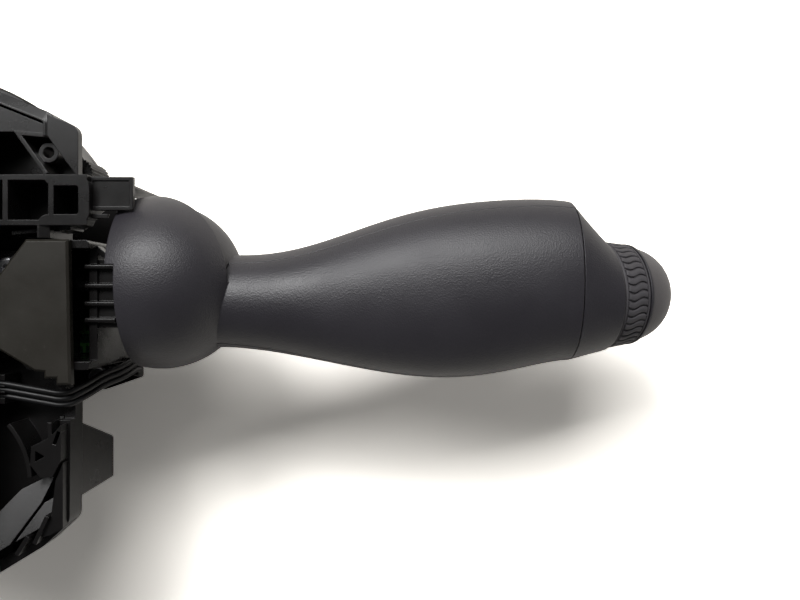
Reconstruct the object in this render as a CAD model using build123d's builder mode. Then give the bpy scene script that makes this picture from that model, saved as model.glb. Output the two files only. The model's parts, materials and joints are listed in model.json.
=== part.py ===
"""Combination stalk switch: a steering column module with one multi-function lever.

Millimetres. Z runs along the steering column, from the face that looks at the steering
wheel (z = 0) to the rear. X runs along the lever, away from the column. The origin is
on the column axis in the front face.
"""
from build123d import *
import os
from math import cos, pi, radians, sin, tan

os.makedirs("parts", exist_ok=True)

# ---------------------------------------------------------------- driving dimensions
# steering column bore and clock spring
bore_r = 22.0                # column passes through here
tube_wall = 2.5
module_depth = 70.0          # front face to the end of the column tube
run_gap = 0.1                # radial gap of parts that turn on each other
seat_gap = 0.05              # radial gap of pins and spigots that stay put
spring_case_r = 46.0
spring_case_depth = 20.0
spring_case_wall = 2.0
rotor_disc_z = 5.0
rotor_disc_t = 2.4
rotor_hub_wall = 2.5
rotor_front_z = 1.0
cable_width = 8.5
cable_t = 0.5
cable_turns = 4

# carrier with the round flange
flange_r = 58.6
flange_t = 3.0
flange_cut_y = -28.5         # the flange stops here beside the connector
skirt_r = 44.0
skirt_wall = 2.0
mount_circle_r = 50.0
mount_hole_r = 2.75
mount_boss_r = 4.8
mount_count = 3

# rear frame
deck_z = 54.0
deck_t = 2.0
frame_wall = 2.4
frame_height = 12.0          # from the deck's underside to the rim
rib_t = 1.2
corner_r = 3.0
screw_boss_r = 3.4
screw_core_r = 1.2
bracket_screw = (50.6, -24.9)

# lever hub
hub_x = 76.0                 # ball centre from the column axis
axis_z = 50.0                # ball centre above the front face
ball_r = 20.4
ball_wall = 1.6
cup_wall = 1.5               # inner ball of the front cover
rim_x = -6.7                 # rim plane from the ball centre
rim_notch = 2.2
rim_notch_y = 3.4
ball_gap = 0.7               # fixed parts stay this far from the ball
turn_angle = 12.0            # indicator throw each way

# gimbal
pin_r = 1.5
yoke_x = 12.0
yoke_y = 16.0
yoke_z = 13.0
yoke_side = 2.7
yoke_top = 2.1
core_y = 10.0
core_z = 7.0
core_shaft_r = 7.5
core_collar_r = 8.8
core_end_x = 104.0
web_x = 97.0                 # web in the neck that grips the core
web_t = 3.0
ear_t = 2.2
ear_gap = 0.15
ear_eye_r = 4.2
tail_r = 3.4
tail_reach = 17.0            # end of the tail from the pivot
plunger_r = 2.0
plunger_reach = 21.5         # tip of the plunger from the pivot
plunger_length = 9.0
detent_gap = 0.3
detent_t = 3.0
detent_y = 13.8
detent_z = 11.0

# switch box
box_left = 46.5
box_right = 64.0
box_low = -19.5
box_high = 9.0
box_front = 34.0
box_rear = 64.0
box_wall = 1.8
box_cut = 4.3                # the corners away from the lever are cut off
panel_t = 2.0
board_t = 1.6
box_flange = 6.0
box_flange_t = 1.6

# lever skin: where the lever is cut across, and its reach from the axis at each cut,
# as (x, axis height, tilt, high side, low side, rear, front, fullness)
lever_cuts = [
    (84.0, 50.0, 0.0, 6.6, -15.8, 11.0, 11.0, 0.55),
    (98.0, 50.0, 0.5, 6.6, -15.9, 11.0, 11.0, 0.55),
    (111.0, 49.6, 1.2, 8.9, -18.1, 11.7, 11.7, 0.56),
    (124.0, 49.0, 2.0, 13.3, -20.7, 12.8, 12.6, 0.58),
    (137.0, 48.3, 2.8, 17.2, -22.5, 13.9, 13.4, 0.60),
    (152.0, 47.6, 3.8, 19.5, -22.1, 14.7, 13.8, 0.61),
    (172.2, 46.3, 5.0, 19.6, -18.7, 14.9, 13.6, 0.62),
]
skin = 2.0
seam_gap = 0.25              # parting line between the two covers
seam_x = 98.0
seam_rise = 6.0              # seam above the lever's axis at seam_x
seam_tilt = 6.2              # degrees about the lever
seam_fall = 2.6              # degrees along the lever
neck_y = -4.65
board_post_r = 2.4

# knob at the tip of the lever
knob_x = 179.9
knob_y = -3.0
knob_z = 44.6
knob_pitch = 15.0            # degrees towards the front
knob_yaw = 2.0
shoulder_r = 13.7
band_start = 0.6
band_end = 7.4
band_r = 13.1
band_tip_r = 12.4
band_wall = 1.0
trim_end = 8.6
spindle_r = 6.0
spindle_wall = 1.5
cap_r = 11.75
cap_tip = 19.1
cap_wall = 1.6
cap_skirt = 6.9

# ---------------------------------------------------------------- derived places
tube_r = bore_r + tube_wall
hub = (hub_x, 0, axis_z)
cup_r = ball_r - ball_wall - run_gap
cup_inner_r = cup_r - cup_wall
deck_top = deck_z + deck_t
rim_z = deck_z + frame_height
rotor_hub_in = tube_r + run_gap
rotor_hub_out = rotor_hub_in + rotor_hub_wall
rotor_r = spring_case_r - spring_case_wall - 0.6
spring_case_floor = spring_case_depth - spring_case_wall
flange_top = spring_case_depth + flange_t
far = 400.0                  # longer than the whole part, for cutting blocks


def polar(radius, degrees):
    """Point on a circle about the column axis."""
    return (radius * cos(radians(degrees)), radius * sin(radians(degrees)))


# ---------------------------------------------------------------- harness route
# three strands from the flange up past the switch box and over the frame to the board
header_x = 37.5
strand_r = 0.65
strand_count = 3
strand_step = (0, -1.4, -0.45)         # from one strand to the next
strand_route = [
    (52.5, -18.4, spring_case_depth + 1.5), (52.8, -18.5, 27.5), (61.0, -20.6, 30.5),
    (65.0, -20.8, 34.5), (66.2, -18.4, 40.0), (64.8, -20.2, 46.0), (62.2, -21.4, 52.0),
    (60.5, -23.3, 57.5), (57.4, -25.2, 61.2), (51.0, -23.8, 62.3), (43.6, -22.4, 62.6),
    (header_x, -22.4, 62.6),
]
clip_corner = 10                       # corner of the route that the clip holds


def bend_radii(points):
    """Largest arcs that fit the corners of a route, one for each inner point."""
    radii = []
    for before, corner, after in zip(points, points[1:], points[2:]):
        run_in = Vector(*corner) - Vector(*before)
        run_out = Vector(*after) - Vector(*corner)
        half_turn = radians(run_in.get_angle(run_out)) / 2
        radii.append(0.45 * min(run_in.length, run_out.length) / tan(half_turn))
    return radii


def strand_points(number):
    """Route of one strand, beside the first one."""
    return [tuple(p + number * s for p, s in zip(point, strand_step)) for point in strand_route]


def strand(number, radius):
    """Tube along one strand's route."""
    points = strand_points(number)
    with BuildPart() as tube:
        with BuildLine() as path:
            FilletPolyline(*points, radius=bend_radii(points))
        with BuildSketch(Plane(origin=path.line @ 0, z_dir=path.line % 0)):
            Circle(radius)
        sweep()
    return tube.part


# ================================================================ clock spring
with BuildPart() as clockspring_case:
    with BuildSketch():
        Circle(spring_case_r)
        Circle(spring_case_r - spring_case_wall, mode=Mode.SUBTRACT)
    extrude(amount=spring_case_depth)
    with BuildSketch(Plane.XY.offset(spring_case_floor)):
        Circle(spring_case_r)
        Circle(rotor_hub_out + run_gap, mode=Mode.SUBTRACT)
    extrude(amount=spring_case_wall)
    # stiffening ribs outside the wall, under the carrier's flange
    with BuildSketch(Plane.XY.offset(spring_case_depth - 6)):
        with PolarLocations(spring_case_r + 1.5, 12):
            Rectangle(4, rib_t)
    extrude(amount=6)
    front_rim = clockspring_case.edges().filter_by(GeomType.CIRCLE).group_by(Axis.Z)[0]
    chamfer(front_rim, length=0.5)
clockspring_case.part.label = "clockspring_case"

lug_height = rotor_disc_z - rotor_front_z
with BuildPart() as clockspring_rotor:
    with BuildSketch(Plane.XY.offset(rotor_disc_z)):
        Circle(rotor_r)
        Circle(rotor_hub_in, mode=Mode.SUBTRACT)
    extrude(amount=rotor_disc_t)
    with BuildSketch(Plane.XY.offset(rotor_front_z)):
        Circle(rotor_hub_out)
        Circle(rotor_hub_in, mode=Mode.SUBTRACT)
    extrude(amount=spring_case_depth - rotor_front_z - 0.2)
    # drive pins for the steering wheel and the two wheel sockets
    with BuildSketch(Plane.XY.offset(rotor_front_z)):
        with Locations((0, 35), (0, -35)):
            Circle(2.5)
        with Locations((35, 0), (-35, 0)):
            RectangleRounded(9, 16, 1)
    extrude(amount=lug_height)
    with BuildSketch(Plane.XY.offset(rotor_front_z)):
        with Locations((35, 0), (-35, 0)):
            RectangleRounded(6.6, 13.6, 0.6)
    extrude(amount=lug_height - 0.6, mode=Mode.SUBTRACT)
clockspring_rotor.part.label = "clockspring_rotor"


cable_start_r = rotor_hub_out + 1.2
cable_pitch = (spring_case_r - spring_case_wall - 1.6 - cable_start_r) / cable_turns


def spiral_point(turn, side):
    """Point of the flat cable's inner or outer face after so many turns."""
    radius = cable_start_r + cable_pitch * turn + side * cable_t / 2
    return polar(radius, 360 * turn)


spiral_steps = [step / 8 for step in range(8 * cable_turns + 1)]
with BuildPart() as flex_cable:
    with BuildSketch(Plane.XY.offset(rotor_disc_z + rotor_disc_t + 0.3)):
        with BuildLine():
            inner_side = Spline(*[spiral_point(turn, -1) for turn in spiral_steps])
            outer_side = Spline(*[spiral_point(turn, 1) for turn in spiral_steps])
            Line(inner_side @ 0, outer_side @ 0)
            Line(inner_side @ 1, outer_side @ 1)
        make_face()
    extrude(amount=cable_width)
flex_cable.part.label = "flex_cable"

# ================================================================ carrier
mount_points = [polar(mount_circle_r, 60 + 360 * index / mount_count) for index in range(mount_count)]
with BuildPart() as column_carrier:
    with BuildSketch(Plane.XY.offset(spring_case_depth)):
        Circle(flange_r)
        Circle(tube_r, mode=Mode.SUBTRACT)
    extrude(amount=flange_t)
    flange_edges = column_carrier.edges().filter_by(GeomType.CIRCLE)
    chamfer(flange_edges.sort_by(SortBy.RADIUS)[-2:], length=0.6)
    # the flange is cut off square beside the connector
    with BuildSketch(Plane.XY.offset(spring_case_depth)):
        with Locations((flange_r, flange_cut_y)):
            Rectangle(flange_r, flange_r, align=(Align.CENTER, Align.MAX))
        Circle(skirt_r + 2, mode=Mode.SUBTRACT)
    extrude(amount=flange_t, mode=Mode.SUBTRACT)
    # column tube, through the whole module
    with BuildSketch():
        Circle(tube_r)
    extrude(amount=module_depth)
    # round skirt up to the rear frame's deck
    with BuildSketch(Plane.XY.offset(flange_top)):
        Circle(skirt_r)
        Circle(skirt_r - skirt_wall, mode=Mode.SUBTRACT)
    extrude(amount=deck_z - flange_top)
    # sleeves of the three mounting screws
    with BuildSketch(Plane.XY.offset(flange_top)):
        with Locations(*mount_points):
            Circle(mount_boss_r)
    extrude(amount=rim_z - flange_top)
    # webs from the skirt to the tube
    with BuildSketch(Plane.XY.offset(flange_top)):
        with PolarLocations((tube_r + skirt_r) / 2, 6, start_angle=15):
            Rectangle(skirt_r - tube_r - skirt_wall / 2, rib_t)
    extrude(amount=deck_z - flange_top - 12)
    with BuildSketch():
        Circle(bore_r)
    extrude(amount=module_depth, mode=Mode.SUBTRACT)
    with BuildSketch(Plane.XY.offset(spring_case_depth)):
        with Locations(*mount_points):
            Circle(mount_hole_r)
    extrude(amount=rim_z - spring_case_depth, mode=Mode.SUBTRACT)
    # holes of the bracket's screw and of the wires
    with BuildSketch(Plane.XY.offset(spring_case_depth)):
        with Locations(bracket_screw):
            Circle(screw_core_r)
        with Locations(strand_points(1)[0][:2]):
            SlotCenterToCenter(-2 * strand_step[1], 2 * (strand_r + seat_gap), rotation=90)
    extrude(amount=flange_t, mode=Mode.SUBTRACT)
column_carrier.part.label = "column_carrier"

# ================================================================ rear frame
# outline of the deck seen from the rear, beginning at the lever's side
frame_corners = [
    (57.3, 36.1), (57.3, 23.0), (64.9, 23.0), (64.9, 12.0), (56.0, 12.0), (56.0, -24.0),
    (58.4, -27.0), (58.2, -53.9), (52.3, -59.3), (41.0, -66.2), (8.0, -70.0), (-34.0, -58.0),
    (-56.0, -30.0), (-60.0, 0.0), (-52.0, 32.0), (-30.0, 54.0), (12.0, 57.0), (45.6, 40.8),
]
square_corners = [(57.3, 23.0), (56.0, 12.0)]
low_rim_z = 60.5             # the rim is lower round the low corner
low_rim_corner = (43.0, -31.0)
box_screws = [(box_left - box_flange / 2, box_low + 6.0), (box_left - box_flange / 2, box_high - 6.0)]
cover_screws = [(-42.0, 32.0), (-36.0, -44.0), (12.0, -63.0), (5.0, 50.0)]
cover_edge_x = 42.0          # the board cover ends here
cover_t = 1.6
pocket_gap = 0.3             # between the switch box and its pocket
pocket_left = box_left - pocket_gap
pocket_low = box_low - pocket_gap
pocket_high = box_high + pocket_gap
pocket_width = 20.0
rib_height = rim_z - deck_top
board_rib = 3.0              # carries the main board
rim_slope = 2.0              # the rim's high edge slopes over this width
rim_slope_fall = 0.8
thin_rib = 0.9
# open cells between the frame and the ball
cells_start_x = 41.0
cells_end_x = 64.4
cell_low = 12.0
cell_high = 21.8
divider_xs = (46.7, 56.6)
# corner block with its slanted pocket and screw boss
flat_corners = [(41.0, 39.8), (44.5, 38.2), (55.0, 34.0), (55.0, 31.6), (48.6, 32.4), (41.0, 32.4)]
block_corners = [(55.8, 36.0), (57.3, 35.4), (57.3, 29.3), (55.8, 31.4)]
lip_corners = [(55.8, 36.0), (62.5, 33.3), (62.5, 22.6), (62.2, 22.6), (55.8, 31.4)]
lip_t = 2.1
slant_corners = [(49.4, 31.9), (55.8, 31.3), (61.95, 23.0), (55.6, 23.0)]
slant_floor = 58.0
slant_floor_corners = [(49.4, 31.9), (55.8, 31.3), (59.0, 26.8), (59.0, 22.5), (55.6, 22.5)]
slant_screw = (54.7, 28.3)
# guard over the ball and the post that stands under it
guard_front = 62.7
guard_t = 1.3
guard_spot = (68.8, 19.15)
guard_width = 9.6
guard_depth = 7.3
guard_recess = 0.3
post_corners = [(62.9, 22.0), (62.9, 22.8), (66.5, 23.2), (71.6, 21.9), (71.8, 21.3), (66.0, 21.4)]
post_front = 38.0
# serrated boss under the corner
knob_spot = (58.3, 25.2)
serration_r = 2.9
serration_count = 24
# ramps at the low corner: both tops lean the same way
ramp_normal = (0.15, 0.33, 0.93)
ramp_point = (43.0, -60.0, 65.5)
ramp_corners = [(43.0, -51.5), (47.2, -46.6), (54.2, -43.1), (51.8, -49.7), (46.7, -57.8), (43.0, -60.0)]
low_ramp_corners = [(52.2, -49.7), (55.5, -47.9), (54.4, -51.9), (52.9, -54.5), (47.4, -57.5)]
ramp_step = 0.6
plateau_corners = [
    (51.3, -36.3), (55.5, -34.2), (57.8, -31.6), (57.8, -39.2), (56.0, -42.9), (53.3, -43.1), (51.1, -40.3),
]
plateau_z = 64.0
wedge_corners = [
    (56.2, -44.0), (57.8, -40.0), (57.8, -54.5), (55.0, -56.0), (52.7, -56.6), (55.2, -52.0),
]
wedge_z = 63.0


def corner_sketch(corners, radius=0.0):
    """Closed outline through the corners, rounded when a radius is given."""
    with BuildSketch() as outline:
        with BuildLine():
            Polyline(*corners, close=True)
        make_face()
        if radius:
            fillet(outline.vertices(), radius=radius)
    return outline.sketch


def frame_outline(shrink=0.0):
    """Outline of the rear frame with rounded corners, moved inwards by shrink."""
    with BuildSketch() as outline:
        add(corner_sketch(frame_corners))
        corners = outline.vertices()
        fillet([v for v in corners if (round(v.X, 1), round(v.Y, 1)) not in square_corners], radius=corner_r)
        if shrink:
            offset(amount=-shrink)
    return outline.sketch


def ramp(corners, drop):
    """Block on the deck whose top leans towards the lever."""
    with BuildPart() as block:
        with BuildSketch(Plane.XY.offset(deck_top)):
            add(corner_sketch(corners))
        extrude(amount=rib_height)
        top = Plane(origin=ramp_point, z_dir=ramp_normal)
        split(bisect_by=top.offset(-drop), keep=Keep.BOTTOM)
    return block.part


with BuildPart() as rear_frame:
    # deck with a rim wall round it, chamfered along its high edge
    with BuildSketch(Plane.XY.offset(deck_z)):
        add(frame_outline())
    extrude(amount=deck_t)
    with BuildSketch(Plane.XY.offset(deck_top)):
        add(frame_outline())
    extrude(amount=rib_height)
    rim_face = rear_frame.faces().sort_by(Axis.Z)[-1]
    rim_edges = rim_face.edges().filter_by_position(Axis.Y, 36, far)
    chamfer(rim_edges, length=rim_slope, length2=rim_slope_fall, reference=rim_face)
    with BuildSketch(Plane.XY.offset(deck_top)):
        add(frame_outline(frame_wall))
    extrude(amount=rib_height, mode=Mode.SUBTRACT)
    with BuildSketch(Plane.XY.offset(low_rim_z)):
        with Locations(low_rim_corner):
            Rectangle(far, far, align=(Align.MIN, Align.MAX))
    extrude(amount=rib_height, mode=Mode.SUBTRACT)
    # cells beside the ball: long ribs and dividers
    with BuildSketch(Plane.XY.offset(deck_top)):
        with Locations((cells_start_x, cell_high), (cells_start_x, cell_low)):
            Rectangle(cells_end_x - cells_start_x, rib_t, align=(Align.MIN, Align.MIN))
        with Locations(*[(x, cell_low) for x in divider_xs]):
            Rectangle(rib_t, cell_high - cell_low + rib_t, align=(Align.CENTER, Align.MIN))
    extrude(amount=rib_height)
    # rib below the cells
    with BuildSketch(Plane.XY.offset(deck_top)):
        with BuildLine():
            Line((46.5, 10.6), (59.5, 11.8))
        trace(line_width=thin_rib)
    extrude(amount=rib_height - 3)
    # raised corner: flat panel, block and the lip that overhangs the deck
    with BuildSketch(Plane.XY.offset(deck_top)):
        add(corner_sketch(flat_corners))
        add(corner_sketch(block_corners))
    extrude(amount=rib_height - 0.8)
    with BuildSketch(Plane.XY.offset(rim_z)) as lip:
        add(corner_sketch(lip_corners))
        fillet(lip.vertices().sort_by(Axis.X)[-2:].sort_by(Axis.Y)[-1], radius=2.5)
    extrude(amount=-lip_t)
    # slanted pocket: floor, opening, thin ribs and a screw boss
    with BuildSketch(Plane.XY.offset(slant_floor)):
        add(corner_sketch(slant_corners))
    extrude(amount=rim_z - slant_floor, mode=Mode.SUBTRACT)
    with BuildSketch(Plane.XY.offset(deck_z)):
        add(corner_sketch(slant_floor_corners))
    extrude(amount=slant_floor - deck_z)
    with BuildSketch(Plane.XY.offset(deck_top)):
        with BuildLine():
            Polyline((55.9, 31.5), (49.1, 32.1), (55.4, 23.2))
        trace(line_width=thin_rib)
    extrude(amount=rib_height - 0.4)
    with BuildSketch(Plane.XY.offset(slant_floor)):
        with Locations(slant_screw):
            Circle(2.2)
    extrude(amount=5)
    # guard that reaches out over the ball, with a shallow recess in its face
    with BuildSketch(Plane.XY.offset(guard_front)):
        with Locations(guard_spot):
            Rectangle(guard_width, guard_depth)
    extrude(amount=guard_t)
    with BuildSketch(Plane.XY.offset(guard_front + guard_t)):
        with Locations(guard_spot):
            Rectangle(guard_width - 1.6, guard_depth - 1.6)
    extrude(amount=-guard_recess, mode=Mode.SUBTRACT)
    with BuildSketch(Plane.XY.offset(guard_front)):
        with Locations((cells_end_x, 14.2)):
            Rectangle(3.8, thin_rib, align=(Align.MIN, Align.CENTER))
    extrude(amount=guard_t)
    with BuildSketch(Plane.XY.offset(post_front)):
        add(corner_sketch(post_corners))
    extrude(amount=guard_front + guard_t / 2 - post_front)
    with Locations(hub):
        Sphere(ball_r + ball_gap, mode=Mode.SUBTRACT)
    # serrated boss and gusset below the corner
    with BuildSketch(Plane.XY.offset(deck_z - 8)):
        with Locations(knob_spot):
            Circle(serration_r)
            with PolarLocations(serration_r, serration_count):
                Rectangle(0.5, 0.5, rotation=45)
    extrude(amount=8 + deck_t)
    with BuildSketch(Plane.XY.offset(deck_z - 4)):
        add(corner_sketch([(56.5, 32.0), (57.3, 31.5), (59.6, 27.9), (59.6, 25.0), (56.5, 25.0)]))
    extrude(amount=4 + deck_t)
    # low corner: curved and straight ribs, ramps, plateau and wedge
    with BuildSketch(Plane.XY.offset(deck_top)):
        with BuildLine():
            ThreePointArc((46.3, -31.5), (49.6, -36.8), (51.0, -43.0))
            Line((55.3, -30.6), (55.5, -35.0))
            Line((52.0, -57.6), (54.8, -51.6))
            Line((48.1, -60.0), (50.6, -56.0))
        trace(line_width=thin_rib)
    extrude(amount=rib_height - 2)
    with BuildSketch(Plane.XY.offset(deck_top)):
        add(corner_sketch(plateau_corners))
        with Locations((52.9, -38.4)):
            Triangle(a=2.4, b=2.4, c=2.4, rotation=30, mode=Mode.SUBTRACT)
        with Locations((56.9, -34.4)):
            Rectangle(0.8, 3, rotation=-20, mode=Mode.SUBTRACT)
    extrude(amount=plateau_z - deck_top)
    with BuildSketch(Plane.XY.offset(deck_top)):
        add(corner_sketch(wedge_corners))
    extrude(amount=wedge_z - deck_top)
    add(ramp(ramp_corners, 0))
    add(ramp(low_ramp_corners, ramp_step))
    # bosses for the board cover's screws
    with BuildSketch(Plane.XY.offset(deck_top)):
        with Locations(*cover_screws):
            Circle(screw_boss_r)
    extrude(amount=rib_height)
    # standing ribs that carry the main board
    with BuildSketch(Plane.XY.offset(deck_top)):
        with PolarLocations(34, 5, start_angle=80, angular_range=200):
            Rectangle(10, rib_t)
    extrude(amount=board_rib)
    # holes: column tube, mounting sleeves, cover screws, pocket screw, switch pocket
    with BuildSketch(Plane.XY.offset(deck_z)):
        Circle(tube_r + seat_gap)
        with Locations(*mount_points):
            Circle(mount_boss_r + seat_gap)
        with Locations((pocket_left, (pocket_low + pocket_high) / 2)):
            Rectangle(pocket_width, pocket_high - pocket_low, align=(Align.MIN, Align.CENTER))
        with Locations(*cover_screws, *box_screws, slant_screw):
            Circle(screw_core_r)
    extrude(amount=frame_height, mode=Mode.SUBTRACT)
    # way out for the harness between the pocket and the low wall
    with BuildSketch(Plane.XY.offset(deck_top + 2)):
        with Locations((59.5, -25.0)):
            Rectangle(12, 12)
    extrude(amount=frame_height, mode=Mode.SUBTRACT)
rear_frame.part.label = "rear_frame"

# ================================================================ board and its cover
board_z = deck_top + board_rib
with BuildPart() as main_board:
    with BuildSketch(Plane.XY.offset(board_z)):
        add(frame_outline(frame_wall + 0.5))
        Circle(tube_r + 1, mode=Mode.SUBTRACT)
        with Locations(*mount_points):
            Circle(mount_boss_r + 1, mode=Mode.SUBTRACT)
        with Locations(*cover_screws):
            Circle(screw_boss_r + 0.5, mode=Mode.SUBTRACT)
        with Locations((cover_edge_x - 3, 0)):
            Rectangle(far, far, align=(Align.MIN, Align.CENTER), mode=Mode.SUBTRACT)
        # the top right corner stays free for the stepped ribs
        with Locations((-12, 32)):
            Rectangle(far, far, align=(Align.MIN, Align.MIN), mode=Mode.SUBTRACT)
    extrude(amount=board_t)
    # header that the harness plugs into, relays and a controller
    with BuildSketch(Plane.XY.offset(board_z + board_t)):
        with Locations((header_x, strand_points(1)[-1][1])):
            Rectangle(7, 10, align=(Align.MAX, Align.CENTER))
        with Locations((-38, -6), (-38, 12)):
            Rectangle(9, 14)
        with Locations((0, -38)):
            Rectangle(12, 12)
    extrude(amount=4)
main_board.part.label = "main_board"

with BuildPart() as rear_cover:
    with BuildSketch(Plane.XY.offset(rim_z)):
        add(frame_outline(rim_slope + 0.2))
        Circle(tube_r + seat_gap, mode=Mode.SUBTRACT)
        with Locations(*mount_points):
            Circle(mount_boss_r + 1.5, mode=Mode.SUBTRACT)
        with Locations((cover_edge_x, 0)):
            Rectangle(far, far, align=(Align.MIN, Align.CENTER), mode=Mode.SUBTRACT)
    extrude(amount=cover_t)
    # raised stiffening field and vent slots
    with BuildSketch(Plane.XY.offset(rim_z + cover_t)):
        SlotArc(CenterArc((0, 0), 40, 130, 110), 10)
    extrude(amount=1.2)
    with BuildSketch(Plane.XY.offset(rim_z)):
        with GridLocations(4, 0, 5, 1):
            with Locations((8, -47)):
                SlotOverall(12, 1.6, rotation=90)
    extrude(amount=cover_t, mode=Mode.SUBTRACT)
    with BuildSketch(Plane.XY.offset(rim_z)):
        with Locations(*cover_screws):
            Circle(screw_core_r + 0.4)
    extrude(amount=cover_t, mode=Mode.SUBTRACT)
rear_cover.part.label = "rear_cover"

# ================================================================ switch box
box_depth = box_high - box_low
box_mid_y = (box_high + box_low) / 2
wall_mid_x = box_right - box_wall / 2
ear_z = yoke_z / 2 + ear_gap           # inner face of each fork ear, from the pivot
ear_low = -10.4
ear_high = 5.0
ear_shoulder_x = hub_x - 7.0
comb_ys = (3.3, -1.0, -5.0, -8.7)
comb_height = 1.8
comb_start_x = 61.6
comb_end_x = 68.4
window_y = 14.0
window_z = 11.0
detent_r = plunger_reach + detent_gap
detent_back = hub_x - detent_r - detent_t
click_r = 2.6
click_depth = 0.3
contact_board_z = box_front + box_wall + 2.0
panel_corners = [
    (51.0, box_high), (60.2, box_high), (60.8, -22.6), (57.6, -22.6), (57.6, -21.2),
    (55.0, -21.2), (55.0, -19.8), (53.0, -19.6), (cover_edge_x + 0.4, -13.3), (cover_edge_x + 0.4, -2.5),
]
wall_cut_z = 59.5            # the box is lower beside the ball

box_corners = [
    (box_left + box_cut, box_low), (box_right, box_low), (box_right, box_high),
    (box_left + box_cut, box_high), (box_left, box_high - box_cut), (box_left, box_low + box_cut),
]


def box_outline(shrink=0.0):
    """Outline of the switch box, moved inwards by shrink."""
    with BuildSketch() as outline:
        add(corner_sketch(box_corners, 1.0))
        if shrink:
            offset(amount=-shrink, kind=Kind.INTERSECTION)
    return outline.sketch


with BuildPart() as switch_case:
    with BuildSketch(Plane.XY.offset(box_front)):
        add(box_outline())
    extrude(amount=box_rear - box_front)
    with BuildSketch(Plane.XY.offset(box_front + box_wall)):
        add(box_outline(box_wall))
    extrude(amount=box_rear, mode=Mode.SUBTRACT)
    # flange that lies on the frame's deck
    with BuildSketch(Plane.XY.offset(deck_top)):
        with Locations((box_left + box_wall, box_mid_y)):
            Rectangle(box_flange + box_wall, box_depth - 4, align=(Align.MAX, Align.CENTER))
        with Locations(*box_screws):
            Circle(screw_core_r + 0.3, mode=Mode.SUBTRACT)
    extrude(amount=box_flange_t)
    # the wall towards the ball is lower between its corners
    with BuildSketch(Plane.XY.offset(wall_cut_z)):
        with Locations((box_right + 1, box_mid_y)):
            Rectangle(box_wall + 2, box_depth - 2 * box_wall, align=(Align.MAX, Align.CENTER))
    extrude(amount=box_rear, mode=Mode.SUBTRACT)
    # window that the lever's tail sweeps
    with BuildSketch(Plane.YZ.offset(box_right)):
        with Locations((0, axis_z)):
            RectangleRounded(window_y, window_z, 1.5)
    extrude(amount=-box_wall, mode=Mode.SUBTRACT)
    # ledges under the contact board and the wall behind the detent plate
    with BuildSketch(Plane.XY.offset(box_front + box_wall)):
        with Locations((detent_back, box_mid_y)):
            Rectangle(rib_t, box_depth - box_wall, align=(Align.MAX, Align.CENTER))
    extrude(amount=box_rear - box_front - box_wall)
    with BuildSketch(Plane.XY.offset(box_front + box_wall)):
        with Locations(
            (box_right - box_wall, box_low + box_wall),
            (box_right - box_wall, box_high - box_wall - 1.5),
        ):
            Rectangle(box_right - box_wall - detent_back, 1.5, align=(Align.MAX, Align.MIN))
    extrude(amount=contact_board_z - box_front - box_wall)
    # fork ears that reach into the ball, each with a comb of gussets
    for side in (1, -1):
        with BuildSketch(Plane.XY.offset(axis_z + side * ear_z)):
            with BuildLine():
                Polyline(
                    (wall_mid_x, ear_high), (hub_x, ear_eye_r), (hub_x, -ear_eye_r),
                    (ear_shoulder_x, ear_low), (wall_mid_x, ear_low), close=True,
                )
            make_face()
            with Locations((hub_x, 0)):
                Circle(ear_eye_r)
                Circle(pin_r + seat_gap, mode=Mode.SUBTRACT)
        extrude(amount=side * ear_t)
        with BuildSketch(Plane.XY.offset(axis_z + side * (ear_z + ear_t))):
            with Locations(*[(comb_start_x, y) for y in comb_ys]):
                Rectangle(comb_end_x - comb_start_x, rib_t, align=(Align.MIN, Align.CENTER))
        extrude(amount=side * comb_height)
    # arm from the box's corner to the ear
    with BuildSketch(Plane.XY.offset(axis_z + ear_z)):
        with BuildLine():
            Line((wall_mid_x, box_high - 1), (comb_end_x - 0.9, ear_high - 0.8))
        trace(line_width=rib_t)
    extrude(amount=ear_t + 0.6)
    comb_top = switch_case.faces().filter_by(Plane.XY).filter_by_position(
        Axis.Z, axis_z + ear_z + ear_t + comb_height - 0.01, axis_z + ear_z + ear_t + comb_height + 0.01
    )
    fillet(comb_top.edges().filter_by(Axis.X), radius=0.45)
switch_case.part.label = "switch_case"

with BuildPart() as switch_cover:
    with BuildSketch(Plane.XY.offset(box_rear)):
        with BuildLine():
            Polyline(*panel_corners, close=True)
        make_face()
    extrude(amount=panel_t)
    chamfer(switch_cover.faces().sort_by(Axis.Z)[-1].edges(), length=0.5)
    # spigot that centres the panel in the box
    with BuildSketch(Plane.XY.offset(box_rear)):
        with Locations((detent_back + 0.3, box_mid_y)):
            Rectangle(8, box_depth - 2 * box_wall - 0.4, align=(Align.MIN, Align.CENTER))
    extrude(amount=-1.5)
switch_cover.part.label = "switch_cover"

with BuildPart() as contact_board:
    with BuildSketch(Plane.XY.offset(contact_board_z)):
        with Locations((detent_back + 0.2, box_mid_y)):
            Rectangle(
                box_right - box_wall - detent_back - 0.4, box_depth - 2 * box_wall - 0.4,
                align=(Align.MIN, Align.CENTER),
            )
    extrude(amount=board_t)
    # switches that the yoke works, and the chip
    with BuildSketch(Plane.XY.offset(contact_board_z + board_t)):
        with Locations((57, -13), (57, 3)):
            Rectangle(5, 4)
        with Locations((57, -5)):
            Rectangle(6, 6)
    extrude(amount=1.6)
contact_board.part.label = "contact_board"

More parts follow.
